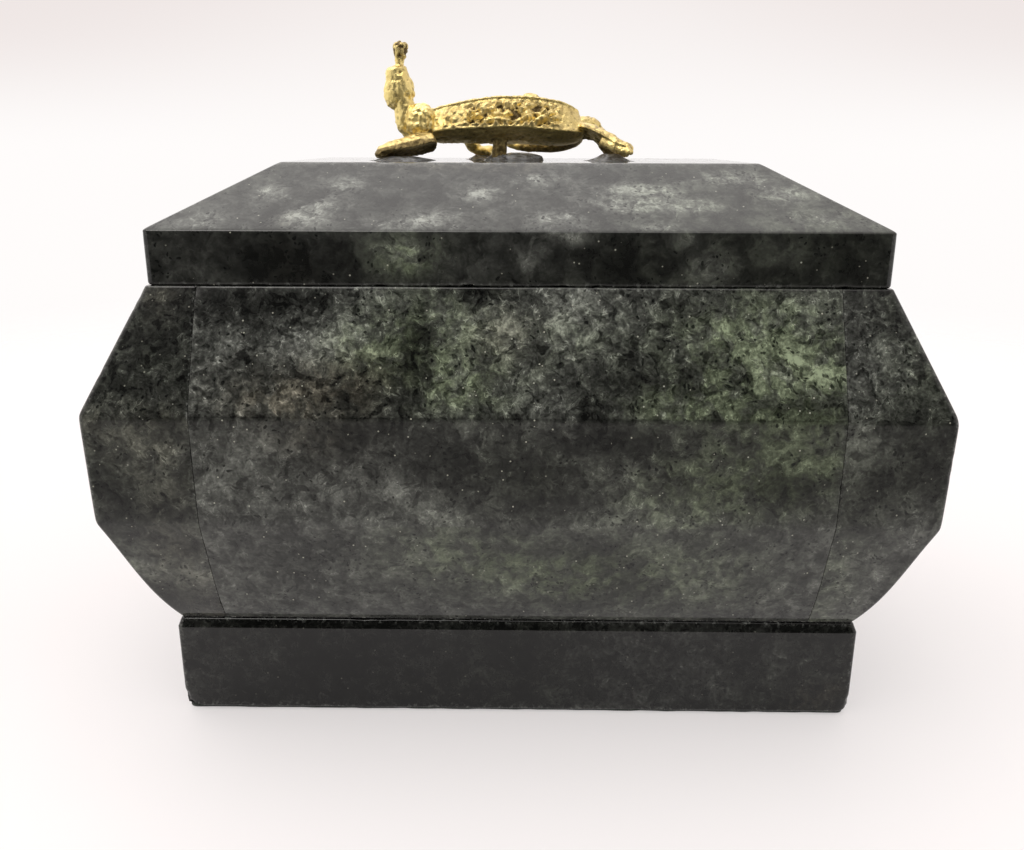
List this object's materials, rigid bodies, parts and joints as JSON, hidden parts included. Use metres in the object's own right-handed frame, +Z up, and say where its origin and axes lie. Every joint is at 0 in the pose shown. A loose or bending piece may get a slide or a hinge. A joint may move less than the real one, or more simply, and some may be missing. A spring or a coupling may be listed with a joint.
{
  "type": "trinket box",
  "caption": "Faceted stone trinket box on a plinth, with a hipped lift-off lid and a cast brass lizard as its handle.",
  "frame": {"origin": "middle of the foot, on the table", "axes": "+X along the box's width, to the right of someone who faces the front; +Y away from that person; +Z up"},
  "size_m": [0.131, 0.094, 0.1118],
  "materials": {
    "plinth_stone": "polished dark green serpentine",
    "wall_stone": "polished dark green serpentine, cloudy",
    "side_stone": "polished dark green serpentine",
    "lid_stone": "polished dark green serpentine",
    "brass": "cast and brushed, dark in the recesses",
    "glue": "dark hardened resin",
    "clear_glue": "greyish hardened resin",
    "felt": "thin pressed felt",
    "lining": "short flock on paper"
  },
  "bodies": {
    "box": {"base_felt": "felt", "plinth": "plinth_stone", "plinth_glue": "glue", "front_wall": "wall_stone", "back_wall": "wall_stone", "left_wall": "side_stone", "right_wall": "side_stone", "corner_glue": "glue", "floor_lining": "lining"},
    "lid": {"lid_slab": "lid_stone", "register_glue": "glue", "lid_register": "lid_stone", "lizard": "brass", "lizard_glue": "clear_glue"}
  },
  "joints": [
    {"name": "lid_lift", "type": "slide", "parent": "box", "child": "lid", "axis": [0, 0, 1], "range_m": [0, 0.08]}
  ]
}
